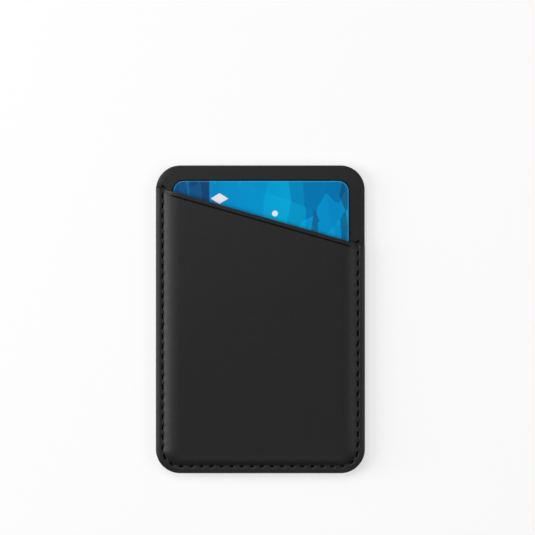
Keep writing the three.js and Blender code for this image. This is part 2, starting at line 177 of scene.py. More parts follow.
class HolderShape:
    """Sizes and surfaces of the leather, from the frame and the sidebar's values."""

    # Spacing of points round the front panel
    STATION = 0.16
    CORNER_STATIONS = 66
    OUTLINE_STEP = 1.5
    # Needle holes, their lean along the seam in radians, and the leather that the thread pulls down
    PIT_DEPTH = 0.8
    PIT_HALF_LENGTH = 0.98
    PIT_HALF_WIDTH = 0.285
    PIT_SLANT = 0.06
    SLANT_SPREAD = 0.09
    FOOT_SHORTER = 0.42
    RIM_DROP = 0.05
    THREAD_BED = 0.07
    PUCKER = 0.022
    # Mouth: rounding of its edge, drop past the crease, and what is pressed at its two ends
    MOUTH_ROUND = 0.24
    SETTLE = 0.05
    END_PRESS = 0.3
    FOLD_DEPTH = 0.05
    FOLD_PITCH = 0.52
    # Border's outer wall
    WALL_ROUND = 0.3
    WALL_DROP = 0.16

    def __init__(self, sizes):
        for name in HolderSizes.__annotations__:
            setattr(self, name, getattr(sizes, name) / MM)
        self.right, self.head = (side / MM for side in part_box("rear_cover")[1][:2])
        self.back_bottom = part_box("back_panel")[0].z / MM
        self.pocket_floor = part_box("back_panel")[1].z / MM
        self.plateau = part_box("front_panel")[1].z / MM
        glue = 0.03
        self.under_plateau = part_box("pocket_lining")[1].z / MM + glue
        self.mouth_rows = self.rows_from_mouth()
        self.bead_top = self.pocket_floor + self.plateau - self.under_plateau
        self.channel_floor = self.bead_top - self.channel_depth
        self.channel_inner = self.seam_inset + self.channel_width
        self.slope = (self.mouth_drop_left - self.mouth_drop_right) / (2 * self.right)
        self.cos_tilt = 1 / math.hypot(1, self.slope)
        self.seam_x = self.right - self.seam_inset
        self.seam_radius = self.corner_radius - self.seam_inset
        self.corner_y = -self.head + self.corner_radius
        self.seam_start = self.mouth_y(-self.seam_x) + self.seam_rise_left
        self.seam_end = self.mouth_y(self.seam_x) + self.seam_rise_right
        self.arc = QUARTER_TURN * self.seam_radius
        self.left_run = self.seam_start - self.corner_y
        self.foot_run = 2 * (self.seam_x - self.seam_radius)
        self.right_run = self.seam_end - self.corner_y
        self.seam_length = self.left_run + self.foot_run + self.right_run + 2 * self.arc
        self.stitches = round(self.seam_length / self.pitch)
        self.step = self.seam_length / self.stitches

    def rows_from_mouth(self):
        """Distances below the mouth's edge, close together over its rounding and in the crease."""
        edge = [0.0, 0.03, 0.08, 0.15, 0.24]
        strip = np.linspace(0.34, self.crease_distance - self.crease_width - 0.12, 9)
        crease = self.crease_distance + self.crease_width * np.linspace(-1.15, 1.15, 11)
        after = self.crease_distance + self.crease_width + np.array([0.1, 0.22, 0.38, 0.6, 0.9])
        return np.concatenate([edge, strip, crease, after])

    def mouth_y(self, x):
        """How far up the slanting edge of the mouth lies at x."""
        return self.head - self.mouth_drop_left + self.slope * (x + self.right)

    def below_mouth(self, x, y):
        """Distance of a point below the mouth's edge, square to it."""
        return (self.mouth_y(x) - y) * self.cos_tilt

    def seam_place(self, x, y):
        """Distance along the seam and offset towards the card, for arrays of points."""
        centre_x = self.seam_x - self.seam_radius
        past = np.abs(x) - centre_x
        down = self.corner_y - y
        side_gap = self.seam_x - np.abs(x)
        foot_gap = y - (self.corner_y - self.seam_radius)
        in_corner = (past > 0) & (down > 0)
        on_foot = ~in_corner & ((foot_gap < side_gap) | (past <= 0) & (down > 0))
        turn = np.arctan2(np.maximum(down, 0), np.maximum(past, 1e-9))
        reach = np.hypot(np.maximum(past, 0), np.maximum(down, 0))
        inward = np.where(in_corner, self.seam_radius - reach, np.where(on_foot, foot_gap, side_gap))
        second = self.left_run + self.arc
        third = second + self.foot_run
        left_side = np.where(in_corner, self.left_run + self.seam_radius * turn, self.seam_start - y)
        right_corner = third + self.seam_radius * (QUARTER_TURN - turn)
        right_side = np.where(in_corner, right_corner, third + self.arc + y - self.corner_y)
        along = np.where(on_foot, second + x + centre_x, np.where(x < 0, left_side, right_side))
        return along, inward

    def seam_point(self, along):
        """The seam's point and direction at a distance along it."""
        centre_x = self.seam_x - self.seam_radius
        if along < self.left_run:
            return (-self.seam_x, self.seam_start - along), (0.0, -1.0)
        along -= self.left_run
        if along < self.arc:
            turn = math.pi + along / self.seam_radius
            return self._round(-centre_x, turn)
        along -= self.arc
        if along < self.foot_run:
            return (along - centre_x, self.corner_y - self.seam_radius), (1.0, 0.0)
        along -= self.foot_run
        if along < self.arc:
            return self._round(centre_x, 1.5 * math.pi + along / self.seam_radius)
        return (self.seam_x, self.corner_y + along - self.arc), (0.0, 1.0)

    def _round(self, centre_x, turn):
        """The seam's point and direction in a corner."""
        x = centre_x + self.seam_radius * math.cos(turn)
        y = self.corner_y + self.seam_radius * math.sin(turn)
        return (x, y), (-math.sin(turn), math.cos(turn))

    def beside_seam(self, along, inward, z):
        """A point at a distance along the seam and an offset towards the card."""
        (x, y), (run_x, run_y) = self.seam_point(along)
        return (x - inward * run_y, y + inward * run_x, z)

    def open_ring(self, side, foot):
        """One ring of the front panel, from the mouth's left end round the foot to its right end."""
        half = self.right - side
        radius = max(self.corner_radius - foot, self.crown_corner)
        low = -self.head + foot + radius
        rows = self.mouth_rows / self.cos_tilt
        turn = np.linspace(0, QUARTER_TURN, self.CORNER_STATIONS + 1)

        def descent(sign, run):
            """One side, from the mouth down and round its corner."""
            start = self.mouth_y(sign * half)
            straight = np.linspace(start - rows[-1], low, round((run - rows[-1]) / self.STATION) + 1)[1:-1]
            y = np.concatenate([start - rows, straight, low - radius * np.sin(turn)])
            x = np.full(len(y), half)
            x[-len(turn):] = half - radius + radius * np.cos(turn)
            return sign * x, y

        left_x, left_y = descent(-1, self.left_run)
        right_x, right_y = descent(1, self.right_run)
        foot_x = np.linspace(left_x[-1], right_x[-1], round(self.foot_run / self.STATION) + 1)[1:-1]
        foot_y = np.full(len(foot_x), low - radius)
        x = np.concatenate([left_x, foot_x, right_x[::-1]])
        return x, np.concatenate([left_y, foot_y, right_y[::-1]])

    def full_ring(self, inset):
        """The whole outline moved in by an inset, counter-clockwise."""
        halves = (self.right, self.head)
        counts = [round(2 * (half - self.corner_radius) / self.OUTLINE_STEP) for half in halves]
        radius = max(self.corner_radius - inset, 1.0)
        return rounded_outline(self.right - inset, self.head - inset, radius, 24, counts)

    def nearest_hole(self, x, y):
        """Number of the nearest needle hole, place past it, offset inwards and reach, 1 at its rim."""
        along, inward = self.seam_place(x, y)
        hole = np.clip(np.round(along / self.step), 1, self.stitches - 1)
        offset = along - hole * self.step
        slant = self.PIT_SLANT + self.SLANT_SPREAD * np.sin(3.7 * hole)
        run = offset * np.cos(slant) - inward * np.sin(slant)
        across = offset * np.sin(slant) + inward * np.cos(slant)
        past_corner = np.minimum(along - self.left_run, self.seam_length - self.right_run - along)
        at_foot = smooth_step(0.3 * self.arc, 0.9 * self.arc, past_corner)
        straight = self.PIT_HALF_LENGTH - self.PIT_HALF_WIDTH - self.FOOT_SHORTER * at_foot
        reach = np.hypot(np.maximum(np.abs(run) - straight, 0), across) / self.PIT_HALF_WIDTH
        return hole, offset, inward, reach

    def pits(self, x, y):
        """How deep the needle holes and the pulled thread press the leather at each point."""
        hole, offset, inward, reach = self.nearest_hole(x, y)
        hollow = self.PIT_DEPTH * (1 - smooth_step(0.6, 1.12, reach))
        rim = self.RIM_DROP * (1 - smooth_step(0.9, 2.4, reach))
        bed = self.THREAD_BED * bell(inward, 0.3)
        # Each stitch pulls the leather with a strength of its own
        wave = np.cos(2 * math.pi * offset / self.step)
        uneven = 1 + 0.4 * np.sin(2.4 * hole) + 0.3 * np.sin(5.1 * hole + 1)
        pull = self.PUCKER * wave * uneven * np.exp(-((inward - 0.2) ** 2) / 1.1)
        thinnest = 0.06
        return np.minimum(hollow + rim + bed + pull, self.channel_floor - self.pocket_floor - thinnest)

    def mouth_shape(self, x, y, crown):
        """How far the surface drops near the mouth: rounded edge, crease, pressed ends and fine folds."""
        below = self.below_mouth(x, y)
        short = np.clip(self.MOUTH_ROUND - below, 0, self.MOUTH_ROUND)
        edge = self.MOUTH_ROUND - np.sqrt(self.MOUTH_ROUND ** 2 - short ** 2)
        distance = np.abs(below - self.crease_distance) / self.crease_width
        crease = self.crease_depth * np.clip(1 - distance, 0, 1) ** 0.8
        fade = smooth_step(0.12, 0.8, crown)
        settle = self.SETTLE * smooth_step(self.crease_distance - 0.5, self.crease_distance + 0.05, below)
        _, inward = self.seam_place(x, y)
        at_end = (1 - smooth_step(0.0, 0.5, crown)) * bell(np.minimum(inward, 0), 0.8)
        press = self.END_PRESS * at_end * bell(np.maximum(below, 0), 1.1)
        fold_place = bell(crown - 0.35, 0.22) * bell(below - 1.3, 0.8)
        wave = np.cos(2 * math.pi * (below - 0.25 * crown) / self.FOLD_PITCH)
        folds = self.FOLD_DEPTH * wave * fold_place
        return edge + (crease + settle) * fade + press + folds

    def border_rings(self):
        """Insets and heights from the outer wall over the bead into the channel."""
        rings = []
        for inset in (0.0, 0.015, 0.05, 0.1, 0.17, 0.24, 0.32, 0.45, 0.6, 0.75, 0.9, self.bead_inset):
            lean = (self.bead_drop - self.WALL_DROP) * (1 - inset / self.bead_inset) ** 1.05
            turn = self.WALL_DROP * (1 - math.sqrt(1 - max(0.0, 1 - inset / self.WALL_ROUND) ** 2))
            rings.append((inset, self.bead_top - lean - turn))
        fall_end = self.seam_inset - 0.36
        for inset in np.linspace(self.bead_inset, fall_end, 8)[1:]:
            share = smooth_step(self.bead_inset, fall_end, inset)
            rings.append((inset, self.bead_top - self.channel_depth * share))
        for inset in np.linspace(fall_end, self.channel_inner, 12)[1:-1]:
            rings.append((inset, self.channel_floor))
        return rings


# Meshes
def new_object(name, data):
    """A new object, linked to the scene."""
    made = bpy.data.objects.new(name, data)
    bpy.context.scene.collection.objects.link(made)
    return made


class Surface:
    """Gathers points in millimetres and faces, and makes one mesh object of them."""

    def __init__(self):
        self.points = []
        self.faces = []
        self.size = 0

    def add(self, x, y, z):
        """Takes points in and gives their numbers."""
        x, y, z = np.broadcast_arrays(np.asarray(x, float), y, z)
        self.points.append(np.stack([x, y, z], axis=-1).reshape(-1, 3))
        first = self.size
        self.size += len(self.points[-1])
        return np.arange(first, self.size)

    def band(self, low, high, closed=False):
        """Quads between two rows of points of the same length."""
        if closed:
            low, high = np.append(low, low[0]), np.append(high, high[0])
        quads = np.stack([low[:-1], low[1:], high[1:], high[:-1]], axis=-1)
        self.faces.extend(quads.tolist())

    def rings(self, profile, outline):
        """A closed wall through the levels of a profile of inset and height."""
        rows = [self.add(*outline(inset), z) for inset, z in profile]
        for lower, upper in zip(rows, rows[1:]):
            self.band(lower, upper, closed=True)
        return rows

    def polygon(self, loop):
        self.faces.append([int(i) for i in loop])

    def fill(self, loop, cloud, height, upwards=True):
        """Triangles over a level outline with a cloud of points inside it. height gives their z."""
        inner_x, inner_y = (np.concatenate(parts) for parts in zip(*cloud))
        inner = self.add(inner_x, inner_y, height(inner_x, inner_y))
        numbers = np.concatenate([loop, inner])
        level = self.all_points()[numbers, :2]
        flat = [Vector(point) for point in level]
        result = delaunay_2d_cdt(flat, [], [list(range(len(loop)))], 1, 1e-6)
        source = [origin[0] for origin in result[3]]
        for face in result[2]:
            corner = [source[i] for i in face]
            (ax, ay), (bx, by), (cx, cy) = level[corner]
            turns_left = (bx - ax) * (cy - ay) - (by - ay) * (cx - ax) > 0
            if turns_left != upwards:
                corner.reverse()
            self.faces.append([int(numbers[i]) for i in corner])

    def make(self, name, sharp=math.radians(48), attributes=None):
        """A smooth mesh object of the faces, without the points that none of them uses."""
        mesh = bpy.data.meshes.new(name)
        used = np.unique(np.concatenate(self.faces))
        number = np.zeros(self.size, int)
        number[used] = np.arange(len(used))
        faces = [number[face].tolist() for face in self.faces]
        mesh.from_pydata((self.all_points()[used] * MM).tolist(), [], faces)
        mesh.update()
        mesh.shade_smooth()
        mesh.set_sharp_from_angle(angle=sharp)
        for label, values in (attributes or {}).items():
            layer = mesh.attributes.new(label, "FLOAT", "POINT")
            layer.data.foreach_set("value", np.asarray(values, np.float32)[used])
        return new_object(name, mesh)

    def all_points(self):
        return np.concatenate(self.points)


def grid_points(half_x, low_y, high_y, step, centre_x=0.0):
    """Points of an even grid, every second row moved by half a step."""
    xs, ys = [], []
    rows = max(2, round((high_y - low_y) / step))
    for row, y in enumerate(np.linspace(low_y, high_y, rows + 1)):
        x = np.arange(centre_x - half_x + (row % 2) * 0.5 * step, centre_x + half_x, step)
        xs.append(x)
        ys.append(np.full(len(x), y))
    return np.concatenate(xs), np.concatenate(ys)


def inside_round_box(x, y, half_x, low_y, high_y, radius, margin):
    """True where points lie inside a rounded box by at least a margin."""
    centre_y = 0.5 * (low_y + high_y)
    half_y = 0.5 * (high_y - low_y)
    past_x = np.maximum(np.abs(x) - (half_x - radius), 0)
    past_y = np.maximum(np.abs(y - centre_y) - (half_y - radius), 0)
    inside = (np.abs(x) < half_x - margin) & (np.abs(y - centre_y) < half_y - margin)
    return inside & (np.hypot(past_x, past_y) < radius - margin)


def finish_piece(piece, material, slot, *nodes):
    """Gives a made piece its material and its body, and hides the CAD nodes that it stands for. The slot
    argument is not used.
    """
    piece.data.materials.append(material)
    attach(piece, BODY)
    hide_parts(*nodes)


# Node trees
class Wire:
    """A socket that takes part in Python maths."""

    def __init__(self, graph, socket):
        self.graph = graph
        self.socket = socket

    def maths(self, operation, *values):
        numbered = dict(enumerate(values))
        return self.graph.add("ShaderNodeMath", {"operation": operation}, numbered)

    def __add__(self, other):
        return self.maths("ADD", self, other)

    def __sub__(self, other):
        return self.maths("SUBTRACT", self, other)

    def __rsub__(self, other):
        return self.maths("SUBTRACT", other, self)

    def __mul__(self, other):
        return self.maths("MULTIPLY", self, other)

    def __truediv__(self, other):
        return self.maths("DIVIDE", self, other)

    def __pow__(self, other):
        return self.maths("POWER", self, other)

    __radd__ = __add__
    __rmul__ = __mul__

    def greater(self, other):
        return self.maths("GREATER_THAN", self, other)

    def size(self):
        return self.maths("ABSOLUTE", self)

    def least(self, other):
        return self.maths("MINIMUM", self, other)

    def most(self, other):
        return self.maths("MAXIMUM", self, other)

    def step(self, low, high):
        """A soft step from 0 at low to 1 at high."""
        settings = {"interpolation_type": "SMOOTHSTEP"}
        values = {"Value": self, "From Min": low, "From Max": high}
        return self.graph.add("ShaderNodeMapRange", settings, values)


class Graph:
    """Adds nodes to one tree."""

    def __init__(self, tree):
        self.tree = tree

    def add(self, kind, settings=None, values=None, output=0):
        """One node of a type: its settings first, then the values or links of its sockets."""
        node = self.tree.nodes.new(kind)
        for name, value in (settings or {}).items():
            setattr(node, name, value)
        for name, value in (values or {}).items():
            self.put(node.inputs[name], value)
        return Wire(self, node.outputs[output]) if len(node.outputs) else node

    def put(self, socket, value):
        if isinstance(value, Wire):
            self.tree.links.new(value.socket, socket)
        else:
            socket.default_value = value

    def coordinates(self):
        return self.add("ShaderNodeTexCoord", output="Object")

    def axis(self, vector, name):
        return self.add("ShaderNodeSeparateXYZ", None, {0: vector}, output=name)

    def noise(self, vector, cell_mm, detail=3.0, roughness=0.5):
        """Noise from 0 to 1 whose features are about cell_mm across."""
        values = {"Vector": vector, "Scale": 1 / (cell_mm * MM), "Detail": detail, "Roughness": roughness}
        return self.add("ShaderNodeTexNoise", None, values, output="Fac")

    def cells(self, vector, cell_mm, feature="F1", output="Distance"):
        """Rounded or straight-sided cells about cell_mm across."""
        values = {"Vector": vector, "Scale": 1 / (cell_mm * MM)}
        return self.add("ShaderNodeTexVoronoi", {"feature": feature}, values, output=output)

    def attribute(self, name):
        return self.add("ShaderNodeAttribute", {"attribute_name": name}, output="Fac")

    def mix(self, share, first, second):
        """Blends two colours."""
        return self.add("ShaderNodeMix", {"data_type": "RGBA"}, {0: share, 6: first, 7: second}, output=2)

    def bump(self, height, depth_mm, normal=None):
        values = {"Height": height, "Distance": depth_mm * MM}
        if normal is not None:
            values["Normal"] = normal
        return self.add("ShaderNodeBump", None, values)


def rgba(value, level=1.0):
    """A colour at a level of its brightness, with alpha."""
    return (*(level * part for part in value), 1.0)


def new_material(name, varying, **fixed):
    """A material on one Principled shader. varying gives the links of its sockets by name."""
    material = bpy.data.materials.new(name)
    material.use_nodes = True
    graph = Graph(material.node_tree)
    material.node_tree.nodes.clear()
    shader = material.node_tree.nodes.new("ShaderNodeBsdfPrincipled")
    for socket, value in {**fixed, **varying(graph, graph.coordinates())}.items():
        graph.put(shader.inputs[socket.replace("_", " ")], value)
    output = material.node_tree.nodes.new("ShaderNodeOutputMaterial")
    material.node_tree.links.new(shader.outputs["BSDF"], output.inputs["Surface"])
    return material


def leather_material(colours):
    """Pressed black leather, lighter on its edges from rubbing and a painted highlight, with painted shade
    darkening its holes.
    """
    def surface(graph, place):
        grain = graph.cells(place, 0.42, "SMOOTH_F1")
        fine = graph.noise(place, 0.16, detail=4.0)
        mottle = graph.noise(place, 1.4)
        haze = graph.noise(place, 16.0, detail=2.0)
        # Edge mask for rubbed wear and a painted highlight: it lightens the leather's colour along the
        # edges.
        rub = graph.attribute("rub")
        worn_and_highlit = (rub * (0.55 + 0.9 * mottle)).step(0.1, 1.0)
        hole = graph.attribute("hole")
        skin = graph.mix(worn_and_highlit, rgba(colours.leather), rgba(colours.leather_worn_highlight))
        height = grain * 0.62 + fine * 0.38
        return {
            # Painted shade: the needle holes' colour is taken to near black.
            "Base_Color": graph.mix(hole, skin, (0.001, 0.001, 0.001, 1.0)),
            "Roughness": 0.41 + 0.04 * mottle + 0.05 * haze - 0.05 * worn_and_highlit + 0.5 * hole,
            "Normal": graph.bump(height, 0.02, normal=graph.bump(mottle, 0.035)),
        }

    return new_material("black_leather", surface, IOR=1.46, Specular_IOR_Level=0.4)


def thread_material(colours):
    """Waxed fibre, a little dusty."""
    def surface(graph, place):
        fibre = graph.noise(place, 0.06, detail=2.0)
        dust = graph.noise(place, 0.5)
        tone = graph.mix(dust, rgba(colours.thread), rgba(colours.thread, 1.5))
        return {
            "Base_Color": tone,
            "Roughness": 0.5 + 0.16 * fibre,
            "Normal": graph.bump(fibre, 0.012),
        }

    return new_material("waxed_thread", surface, IOR=1.46, Specular_IOR_Level=0.35)


def nap_material(name, tone, cell_mm):
    """Short microfibre: a fine nap brushed in patches."""
    def surface(graph, place):
        nap = graph.noise(place, cell_mm, detail=5.0, roughness=0.7)
        patch = graph.noise(place, 6.0, detail=2.0)
        return {
            "Base_Color": graph.mix(0.6 * nap + 0.4 * patch, rgba(tone), rgba(tone, 1.7)),
            "Roughness": 0.86 + 0.1 * patch,
            "Normal": graph.bump(nap, 0.05),
        }

    return new_material(name, surface, Sheen_Weight=0.25, Sheen_Roughness=0.4, Specular_IOR_Level=0.2)


def board_material():
    """Dark fibre board with fine flecks."""
    def surface(graph, place):
        fleck = graph.noise(place, 0.25, detail=4.0)
        return {
            "Base_Color": graph.mix(fleck, (0.008, 0.008, 0.009, 1.0), (0.018, 0.018, 0.019, 1.0)),
            "Roughness": 0.5 + 0.2 * fleck,
            "Normal": graph.bump(fleck, 0.01),
        }

    return new_material("moulded_board", surface)


def metal_material(name, tone, roughness):
    """Plated or rolled metal with fine scratches along x."""
    def surface(graph, place):
        stretched = graph.add(
            "ShaderNodeVectorMath", {"operation": "MULTIPLY"}, {0: place, 1: (0.08, 1.0, 1.0)}
        )
        scratch = graph.noise(stretched, 0.12, detail=3.0)
        stain = graph.noise(place, 3.0)
        return {
            "Base_Color": graph.mix(stain, rgba(tone, 0.8), rgba(tone)),
            "Roughness": roughness + 0.15 * scratch,
            "Normal": graph.bump(scratch, 0.003),
        }

    return new_material(name, surface, Metallic=1.0)


def card_material(colours):
    """Satin film over blue facets that overlap like cut glass."""
    def surface(graph, place):

        def facets(turn_degrees, cell_mm, stretch, channel):
            """A random level for each of a field of long straight-sided facets."""
            turn = (0, 0, math.radians(turn_degrees))
            values = {"Vector": place, "Rotation": turn, "Scale": (1, stretch, 0)}
            turned = graph.add("ShaderNodeMapping", {"vector_type": "POINT"}, values)
            cell = graph.cells(turned, cell_mm, output="Color")
            return graph.add("ShaderNodeSeparateColor", None, {"Color": cell}, output=channel)

        x = graph.axis(place, "X") / MM
        y = graph.axis(place, "Y") / MM
        broad = facets(62, 13.0, 0.45, "Red")
        narrow = facets(-38, 7.0, 0.4, "Green")
        steep = facets(74, 6.0, 0.3, "Blue")
        small = facets(15, 3.6, 0.45, "Red")
        glow = (0.98 - (x - 9.0).size() / 36.0).most(0.0)
        base = graph.mix(glow, rgba(colours.print_blue), rgba(colours.print_cyan))
        first = graph.mix((broad - 0.4).most(0.0) * 1.2, base, rgba(colours.print_blue))
        second = graph.mix(steep.greater(0.6) * 0.45, first, rgba(colours.print_blue))
        third = graph.mix(narrow.greater(0.64) * (0.15 + 0.45 * broad), second, rgba(colours.print_deep))
        fourth = graph.mix(small.greater(0.76) * narrow.greater(0.42) * 0.6, third, rgba(colours.print_navy))
        fifth = graph.mix(narrow.least(steep).greater(0.72) * 0.7, fourth, rgba(colours.print_cyan))
        # A dark left side with a thin ribbon, then a diamond and a dot, at places in millimetres
        dusk = (-15.5 - x).step(0.0, 0.4) * (0.9 - 0.25 * broad) + (-12.5 - x).step(0.0, 0.3) * 0.08
        navy = graph.mix(dusk, fifth, rgba(colours.print_navy))
        ribbon = 1 - (x + 22.3 + 0.12 * (y - 40.0)).size().step(0.2, 0.4)
        lined = graph.mix(ribbon * 0.45, navy, rgba(colours.print_blue))
        diamond = ((x + 12.6).size() / 2.8 + (y - 37.2).size() / 1.7).step(1.0, 0.95)
        dot = (((x - 4.5) ** 2.0 + (y - 32.6) ** 2.0) ** 0.5).step(0.95, 0.85)
        print_tone = graph.mix(diamond.most(dot), lined, (0.8, 0.82, 0.86, 1.0))
        # Painted highlight: a light cyan line along the card's rim and bevel, stronger towards the right.
        edge = graph.attribute("edge") * (0.5 + 0.5 * x.step(-20.0, 5.0))
        speck = graph.noise(place, 0.2)
        wave = graph.noise(place, 5.0, detail=1.0)
        return {
            "Base_Color": graph.mix(edge, print_tone, (0.01, 0.44, 0.78, 1.0)),
            "Roughness": 0.26 + 0.06 * speck,
            "Normal": graph.bump(wave, 0.01),
        }

    return new_material("printed_film", surface, IOR=1.45, Specular_IOR_Level=0.14)


def floor_material(colours):
    """Pale floor that looks white in the picture and keeps the soft shadow."""
    def surface(graph, place):
        cloud = graph.noise(place, 60.0, detail=2.0)
        seen = graph.add("ShaderNodeLightPath", output="Is Camera Ray")
        for name in ("Is Glossy Ray", "Is Transmission Ray"):
            seen = seen.most(graph.add("ShaderNodeLightPath", output=name))
        tone = graph.mix(cloud, rgba(colours.floor, 0.985), rgba(colours.floor))
        return {
            "Base_Color": graph.mix(seen, tone, rgba(colours.floor, 0.5)),
            "Roughness": 0.7 + 0.1 * cloud,
            "Emission_Color": graph.mix(seen, (0, 0, 0, 1), (0.56, 0.56, 0.56, 1)),
        }

    return new_material("pale_floor", surface, Emission_Strength=1.0, Specular_IOR_Level=0.1)


# Pieces
def add_front_panel(shape, material):
    """The crowned front: border, channel, needle holes, crease and the slanting mouth."""
    surface = Surface()
    bottom = shape.pocket_floor
    bottom_round = 0.12

    def up_crown(share, low, high, steepness):
        """Insets at the side and foot, and height, at a share of the way up the crown's slope."""
        side = shape.channel_inner + share * shape.crown_side
        foot = shape.channel_inner + share * shape.crown_foot
        return side, foot, low + (high - low) * (1 - (1 - share) ** steepness)

    border = ((0.0, bottom + bottom_round), (bottom_round, bottom), (shape.channel_inner, bottom))
    rings_under = [(inset, inset, z) for inset, z in border]
    rings_under += [up_crown(share, bottom, shape.under_plateau, 3) for share in np.linspace(0, 1, 9)[1:]]
    rings_top = [(inset, inset, z, 0.0) for inset, z in shape.border_rings()]
    for share in np.linspace(0, 1, 19) ** 1.25:
        rings_top.append((*up_crown(share, shape.channel_floor, shape.plateau, 2), share))

    under_rows = [surface.add(*shape.open_ring(side, foot), z) for side, foot, z in rings_under]
    top_rows = []
    for side, foot, z, share in rings_top:
        x, y = shape.open_ring(side, foot)
        sunk = shape.mouth_shape(x, y, share) + shape.pits(x, y)
        top_rows.append(surface.add(x, y, z - sunk))
    for outer, inner in zip(under_rows, under_rows[1:]):
        surface.band(inner, outer)
    surface.band(under_rows[0], top_rows[0])
    for outer, inner in zip(top_rows, top_rows[1:]):
        surface.band(outer, inner)

    side, foot = rings_top[-1][:2]
    half = shape.right - side
    columns = 121
    step = 2 * half / columns
    mouth_x = np.arange(half - step, -half + 0.5 * step, -step)
    mouth_y = shape.mouth_y(mouth_x)
    edge_drop = shape.mouth_shape(mouth_x, mouth_y, 1.0)
    top_mouth = surface.add(mouth_x, mouth_y, shape.plateau - edge_drop)
    under_mouth = surface.add(mouth_x, mouth_y, shape.under_plateau)
    cloud = []
    row_x = np.arange(half + 2 * step, -half, -step)
    for row in shape.mouth_rows[1:]:
        x = row_x + row * shape.slope * shape.cos_tilt
        y = shape.mouth_y(row_x) - row * shape.cos_tilt
        inside = np.abs(x) < half - 0.4 * step
        cloud.append((x[inside], y[inside]))
    x, y = grid_points(half, -shape.head + foot, shape.head, 1.6)
    keep = shape.below_mouth(x, y) > shape.mouth_rows[-1] + 0.8
    keep &= inside_round_box(x, y, half, -shape.head + foot, shape.head, shape.crown_corner, 0.9)
    cloud.append((x[keep], y[keep]))

    def plateau(x, y):
        return shape.plateau - shape.mouth_shape(x, y, 1.0)

    surface.fill(np.concatenate([top_rows[-1], top_mouth]), cloud, plateau)
    surface.polygon(np.concatenate([under_rows[-1], under_mouth])[::-1])
    left_up = [row[0] for row in top_rows]
    right_down = [row[-1] for row in reversed(top_rows)]
    right_in = [row[-1] for row in under_rows]
    left_out = [row[0] for row in reversed(under_rows)]
    surface.polygon([*left_up, *top_mouth[::-1], *right_down, *right_in, *under_mouth, *left_out])

    points = surface.all_points()
    x, y, z = points.T
    # Lighter along the mouth's edge and the border's outer edge: rubbed wear and a painted highlight.
    along_edge = np.exp(-np.maximum(0, shape.below_mouth(x, y)) / 0.25)
    _, inward = shape.seam_place(x, y)
    outer = smooth_step(shape.seam_inset - 0.75, shape.seam_inset - 0.05, -inward)
    rub = np.clip(np.maximum(0.8 * along_edge, outer), 0, 1)
    # Painted shade down the needle holes: this mask darkens their colour in the material.
    *_, reach = shape.nearest_hole(x, y)
    hole = (1 - smooth_step(0.75, 1.1, reach)) * (z > shape.pocket_floor + 0.02)
    piece = surface.make("front_leather", attributes={"rub": rub, "hole": hole})
    finish_piece(piece, material, "panel_leather", "front_panel")


